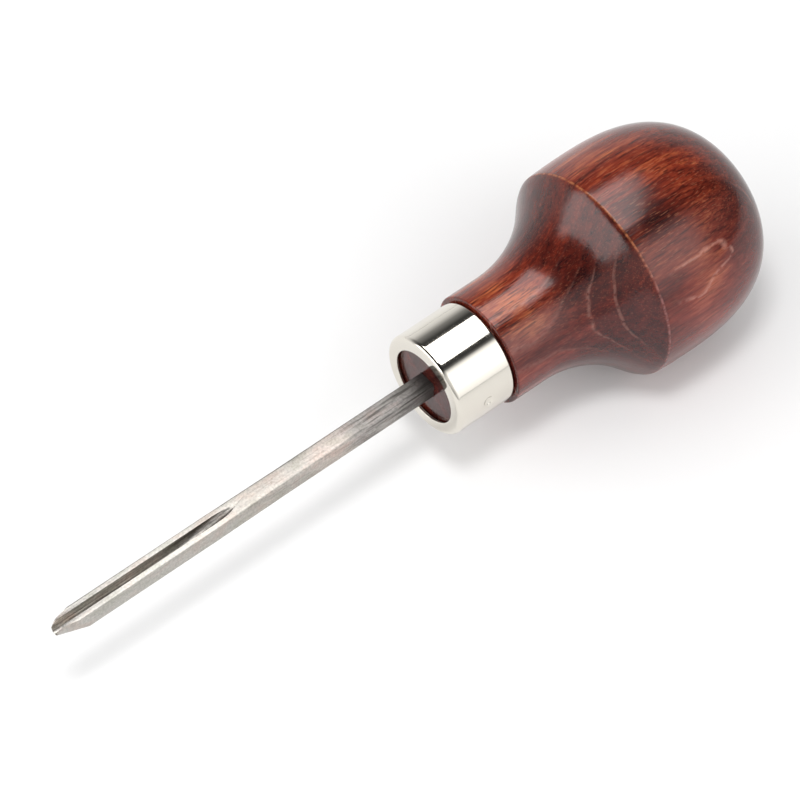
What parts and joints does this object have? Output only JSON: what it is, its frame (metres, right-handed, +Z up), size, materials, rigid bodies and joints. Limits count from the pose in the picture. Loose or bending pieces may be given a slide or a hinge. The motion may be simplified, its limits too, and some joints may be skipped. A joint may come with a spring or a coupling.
{
  "type": "veiner gouge",
  "caption": "Palm-handled veiner gouge: a square steel blade with a narrow U-shaped flute, set through a plated ferrule into a turned wooden handle with a flared neck and domed bulb.",
  "frame": {"origin": "under the middle of the tool's length, on the surface that the bulb of the handle lies on", "axes": "+X along the tool's axis from the cutting edge to the dome of the handle, +Z up, out of the mouth of the flute"},
  "size_m": [0.1382, 0.038, 0.0379],
  "materials": {
    "blade_steel": "ground, with a darker heat-treated stretch near the ferrule",
    "ferrule_plate": "bright nickel plate",
    "handle_wood": "red-brown stain under gloss lacquer"
  },
  "bodies": {
    "root": {"blade": "blade_steel", "ferrule": "ferrule_plate", "handle": "handle_wood"}
  },
  "joints": []
}
